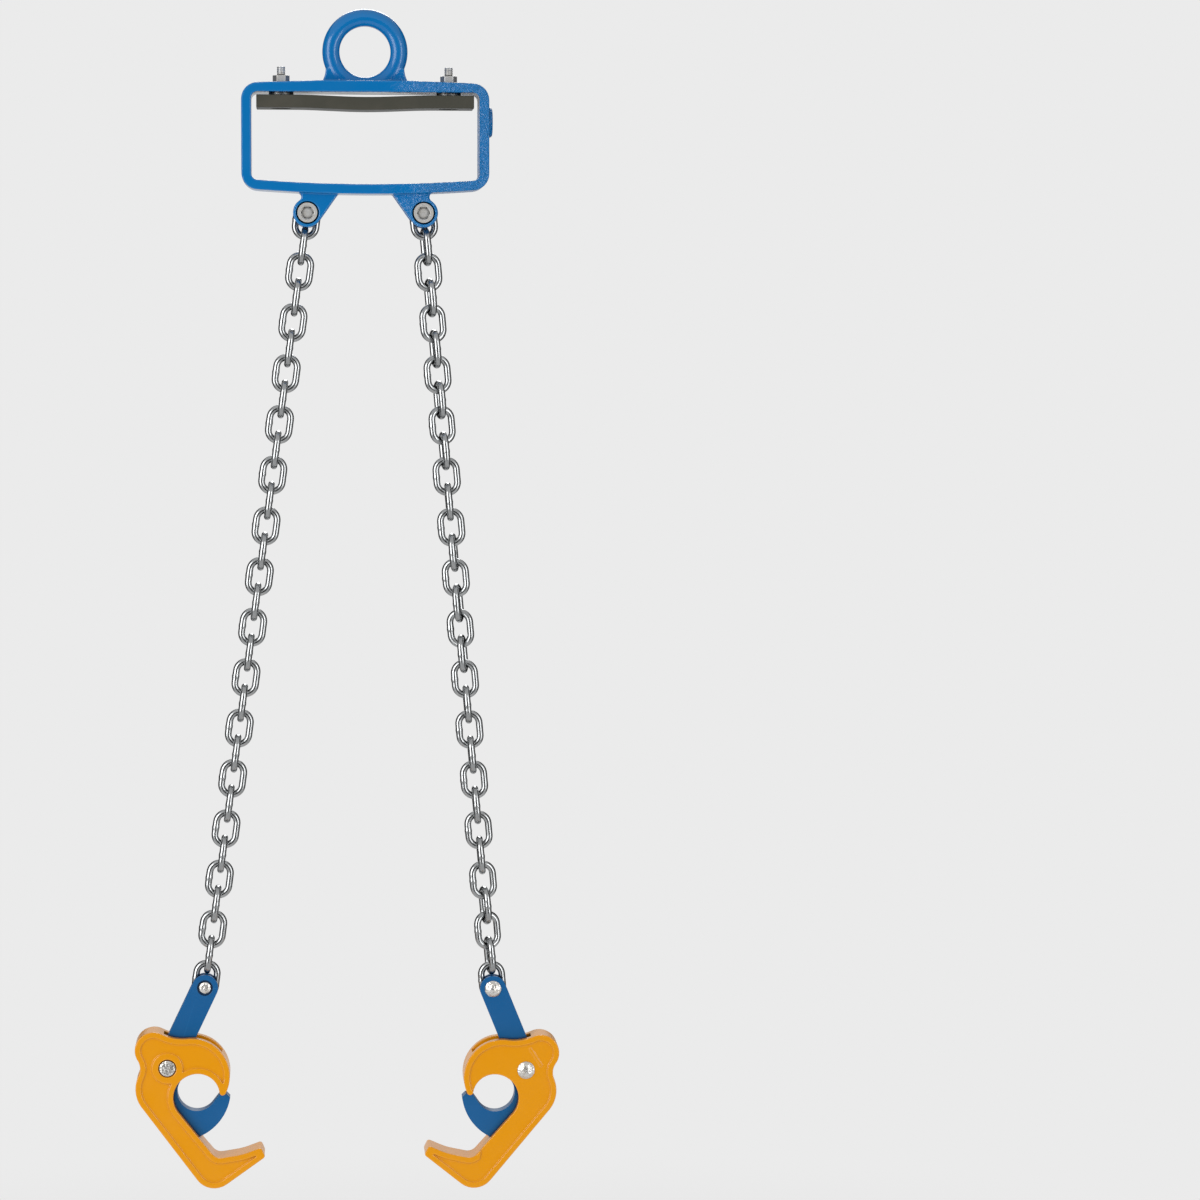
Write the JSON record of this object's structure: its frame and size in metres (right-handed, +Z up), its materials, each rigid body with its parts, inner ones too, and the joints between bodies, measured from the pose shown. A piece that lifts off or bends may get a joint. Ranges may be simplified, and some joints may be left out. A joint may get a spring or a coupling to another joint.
{
  "type": "drum lifter",
  "caption": "Chain drum lifter: a fork sleeve with a lifting eye carries chain legs that end in lever-closed clamps for a drum rim.",
  "frame": {"origin": "centre of the hole of the lifting eye", "axes": "+Z up along the hanging lifter, +X to the right across the fork sleeve, +Y to the back, along the hole of the eye and the fork pocket"},
  "size_m": [0.3997, 0.054, 1.1091],
  "materials": {
    "blue_enamel": "gloss",
    "dark_blue_enamel": "satin",
    "orange_enamel": "gloss",
    "chain_steel": "bright zinc",
    "zinc_plated_steel": "bright zinc",
    "pad_rubber": "matt"
  },
  "bodies": {
    "head": {"lifting_eye": "blue_enamel", "head_frame": "blue_enamel", "left_lug": "blue_enamel", "right_lug": "blue_enamel", "left_lug_bolt": "zinc_plated_steel", "right_lug_bolt": "zinc_plated_steel", "lug_nuts": "zinc_plated_steel", "fork_pad": "pad_rubber", "pad_spacers": "zinc_plated_steel", "pad_studs": "zinc_plated_steel", "pad_nuts": "zinc_plated_steel"},
    "left_link_01": {"left_top_link": "chain_steel"},
    "left_links_02_03": {"left_links_02_03": "chain_steel"},
    "left_links_04_05": {"left_links_04_05": "chain_steel"},
    "left_links_06_07": {"left_links_06_07": "chain_steel"},
    "left_links_08_09": {"left_links_08_09": "chain_steel"},
    "left_links_10_11": {"left_links_10_11": "chain_steel"},
    "left_links_12_13": {"left_links_12_13": "chain_steel"},
    "left_links_14_15": {"left_links_14_15": "chain_steel"},
    "left_links_16_17": {"left_links_16_17": "chain_steel"},
    "left_links_18_19": {"left_links_18_19": "chain_steel"},
    "left_links_20_21": {"left_links_20_21": "chain_steel"},
    "left_links_22_23": {"left_links_22_23": "chain_steel"},
    "left_links_24_25": {"left_links_24_25": "chain_steel"},
    "left_links_26_27": {"left_links_26_27": "chain_steel"},
    "left_links_28_29": {"left_links_28_29": "chain_steel"},
    "left_links_30_31": {"left_links_30_31": "chain_steel"},
    "left_lever": {"left_lever": "dark_blue_enamel", "left_chain_pin": "zinc_plated_steel"},
    "left_clamp": {"left_clamp_body": "orange_enamel", "left_pivot_rivet": "zinc_plated_steel"},
    "right_link_01": {"right_top_link": "chain_steel"},
    "right_links_02_03": {"right_links_02_03": "chain_steel"},
    "right_links_04_05": {"right_links_04_05": "chain_steel"},
    "right_links_06_07": {"right_links_06_07": "chain_steel"},
    "right_links_08_09": {"right_links_08_09": "chain_steel"},
    "right_links_10_11": {"right_links_10_11": "chain_steel"},
    "right_links_12_13": {"right_links_12_13": "chain_steel"},
    "right_links_14_15": {"right_links_14_15": "chain_steel"},
    "right_links_16_17": {"right_links_16_17": "chain_steel"},
    "right_links_18_19": {"right_links_18_19": "chain_steel"},
    "right_links_20_21": {"right_links_20_21": "chain_steel"},
    "right_links_22_23": {"right_links_22_23": "chain_steel"},
    "right_links_24_25": {"right_links_24_25": "chain_steel"},
    "right_links_26_27": {"right_links_26_27": "chain_steel"},
    "right_links_28_29": {"right_links_28_29": "chain_steel"},
    "right_links_30_31": {"right_links_30_31": "chain_steel"},
    "right_lever": {"right_lever": "dark_blue_enamel", "right_chain_pin": "zinc_plated_steel"},
    "right_clamp": {"right_clamp_body": "orange_enamel", "right_pivot_rivet": "zinc_plated_steel"}
  },
  "joints": [
    {"name": "left_lug_swing", "type": "hinge", "parent": "head", "child": "left_link_01", "pos_m": [-0.054, 0, -0.14975], "axis": [0, -1, 0], "range_deg": [-60, 8]},
    {"name": "left_links_02_03_swing", "type": "hinge", "parent": "left_link_01", "child": "left_links_02_03", "pos_m": [-0.05608, 0, -0.16511], "axis": [0, 1, 0], "range_deg": [-8, 30]},
    {"name": "left_links_04_05_tilt", "type": "hinge", "parent": "left_links_02_03", "child": "left_links_04_05", "pos_m": [-0.06341, 0, -0.21932], "axis": [0.991, 0, -0.134], "range_deg": [-75, 75]},
    {"name": "left_links_06_07_swing", "type": "hinge", "parent": "left_links_04_05", "child": "left_links_06_07", "pos_m": [-0.06894, 0, -0.26025], "axis": [0, -1, 0], "range_deg": [-30, 9]},
    {"name": "left_links_08_09_tilt", "type": "hinge", "parent": "left_links_06_07", "child": "left_links_08_09", "pos_m": [-0.07627, 0, -0.31445], "axis": [-0.991, 0, 0.134], "range_deg": [-75, 75]},
    {"name": "left_links_10_11_swing", "type": "hinge", "parent": "left_links_08_09", "child": "left_links_10_11", "pos_m": [-0.0818, 0, -0.35538], "axis": [0, 1, 0], "range_deg": [-10, 30]},
    {"name": "left_links_12_13_tilt", "type": "hinge", "parent": "left_links_10_11", "child": "left_links_12_13", "pos_m": [-0.08913, 0, -0.40959], "axis": [0.991, 0, -0.134], "range_deg": [-75, 75]},
    {"name": "left_links_14_15_swing", "type": "hinge", "parent": "left_links_12_13", "child": "left_links_14_15", "pos_m": [-0.09466, 0, -0.45051], "axis": [0, -1, 0], "range_deg": [-30, 12]},
    {"name": "left_links_16_17_tilt", "type": "hinge", "parent": "left_links_14_15", "child": "left_links_16_17", "pos_m": [-0.10199, 0, -0.50472], "axis": [-0.991, 0, 0.134], "range_deg": [-75, 75]},
    {"name": "left_links_18_19_swing", "type": "hinge", "parent": "left_links_16_17", "child": "left_links_18_19", "pos_m": [-0.10753, 0, -0.54565], "axis": [0, 1, 0], "range_deg": [-14, 30]},
    {"name": "left_links_20_21_tilt", "type": "hinge", "parent": "left_links_18_19", "child": "left_links_20_21", "pos_m": [-0.11486, 0, -0.59986], "axis": [0.991, 0, -0.134], "range_deg": [-75, 75]},
    {"name": "left_links_22_23_swing", "type": "hinge", "parent": "left_links_20_21", "child": "left_links_22_23", "pos_m": [-0.12039, 0, -0.64078], "axis": [0, -1, 0], "range_deg": [-30, 18]},
    {"name": "left_links_24_25_tilt", "type": "hinge", "parent": "left_links_22_23", "child": "left_links_24_25", "pos_m": [-0.12772, 0, -0.69499], "axis": [-0.991, 0, 0.134], "range_deg": [-75, 75]},
    {"name": "left_links_26_27_swing", "type": "hinge", "parent": "left_links_24_25", "child": "left_links_26_27", "pos_m": [-0.13325, 0, -0.73592], "axis": [0, 1, 0], "range_deg": [-23, 30]},
    {"name": "left_links_28_29_tilt", "type": "hinge", "parent": "left_links_26_27", "child": "left_links_28_29", "pos_m": [-0.14058, 0, -0.79012], "axis": [0.991, 0, -0.134], "range_deg": [-75, 75]},
    {"name": "left_links_30_31_swing", "type": "hinge", "parent": "left_links_28_29", "child": "left_links_30_31", "pos_m": [-0.14612, 0, -0.83105], "axis": [0, -1, 0], "range_deg": [-30, 30]},
    {"name": "left_lever_swing", "type": "hinge", "parent": "left_links_30_31", "child": "left_lever", "pos_m": [-0.15237, 0, -0.87733], "axis": [0, 1, 0], "range_deg": [-75, 75]},
    {"name": "left_jaw_open", "type": "hinge", "parent": "left_lever", "child": "left_clamp", "pos_m": [-0.18776, 0, -0.95186], "axis": [0, -1, 0], "range_deg": [0, 36]},
    {"name": "right_lug_swing", "type": "hinge", "parent": "head", "child": "right_link_01", "pos_m": [0.054, 0, -0.14975], "axis": [0, 1, 0], "range_deg": [-60, 8]},
    {"name": "right_links_02_03_swing", "type": "hinge", "parent": "right_link_01", "child": "right_links_02_03", "pos_m": [0.05538, 0, -0.16519], "axis": [0, -1, 0], "range_deg": [-8, 30]},
    {"name": "right_links_04_05_tilt", "type": "hinge", "parent": "right_links_02_03", "child": "right_links_04_05", "pos_m": [0.06024, 0, -0.21967], "axis": [-0.996, 0, -0.0889], "range_deg": [-75, 75]},
    {"name": "right_links_06_07_swing", "type": "hinge", "parent": "right_links_04_05", "child": "right_links_06_07", "pos_m": [0.06391, 0, -0.26081], "axis": [0, 1, 0], "range_deg": [-30, 9]},
    {"name": "right_links_08_09_tilt", "type": "hinge", "parent": "right_links_06_07", "child": "right_links_08_09", "pos_m": [0.06877, 0, -0.31529], "axis": [0.996, 0, 0.0889], "range_deg": [-75, 75]},
    {"name": "right_links_10_11_swing", "type": "hinge", "parent": "right_links_08_09", "child": "right_links_10_11", "pos_m": [0.07245, 0, -0.35643], "axis": [0, -1, 0], "range_deg": [-10, 30]},
    {"name": "right_links_12_13_tilt", "type": "hinge", "parent": "right_links_10_11", "child": "right_links_12_13", "pos_m": [0.07731, 0, -0.41091], "axis": [-0.996, 0, -0.0889], "range_deg": [-75, 75]},
    {"name": "right_links_14_15_swing", "type": "hinge", "parent": "right_links_12_13", "child": "right_links_14_15", "pos_m": [0.08098, 0, -0.45205], "axis": [0, 1, 0], "range_deg": [-30, 12]},
    {"name": "right_links_16_17_tilt", "type": "hinge", "parent": "right_links_14_15", "child": "right_links_16_17", "pos_m": [0.08584, 0, -0.50653], "axis": [0.996, 0, 0.0889], "range_deg": [-75, 75]},
    {"name": "right_links_18_19_swing", "type": "hinge", "parent": "right_links_16_17", "child": "right_links_18_19", "pos_m": [0.08951, 0, -0.54767], "axis": [0, -1, 0], "range_deg": [-14, 30]},
    {"name": "right_links_20_21_tilt", "type": "hinge", "parent": "right_links_18_19", "child": "right_links_20_21", "pos_m": [0.09438, 0, -0.60215], "axis": [-0.996, 0, -0.0889], "range_deg": [-75, 75]},
    {"name": "right_links_22_23_swing", "type": "hinge", "parent": "right_links_20_21", "child": "right_links_22_23", "pos_m": [0.09805, 0, -0.64329], "axis": [0, 1, 0], "range_deg": [-30, 18]},
    {"name": "right_links_24_25_tilt", "type": "hinge", "parent": "right_links_22_23", "child": "right_links_24_25", "pos_m": [0.10291, 0, -0.69777], "axis": [0.996, 0, 0.0889], "range_deg": [-75, 75]},
    {"name": "right_links_26_27_swing", "type": "hinge", "parent": "right_links_24_25", "child": "right_links_26_27", "pos_m": [0.10658, 0, -0.73891], "axis": [0, -1, 0], "range_deg": [-23, 30]},
    {"name": "right_links_28_29_tilt", "type": "hinge", "parent": "right_links_26_27", "child": "right_links_28_29", "pos_m": [0.11144, 0, -0.79339], "axis": [-0.996, 0, -0.0889], "range_deg": [-75, 75]},
    {"name": "right_links_30_31_swing", "type": "hinge", "parent": "right_links_28_29", "child": "right_links_30_31", "pos_m": [0.11511, 0, -0.83453], "axis": [0, 1, 0], "range_deg": [-30, 30]},
    {"name": "right_lever_swing", "type": "hinge", "parent": "right_links_30_31", "child": "right_lever", "pos_m": [0.11927, 0, -0.88104], "axis": [0, -1, 0], "range_deg": [-75, 75]},
    {"name": "right_jaw_open", "type": "hinge", "parent": "right_lever", "child": "right_clamp", "pos_m": [0.15017, 0, -0.95754], "axis": [0, 1, 0], "range_deg": [0, 36]}
  ]
}
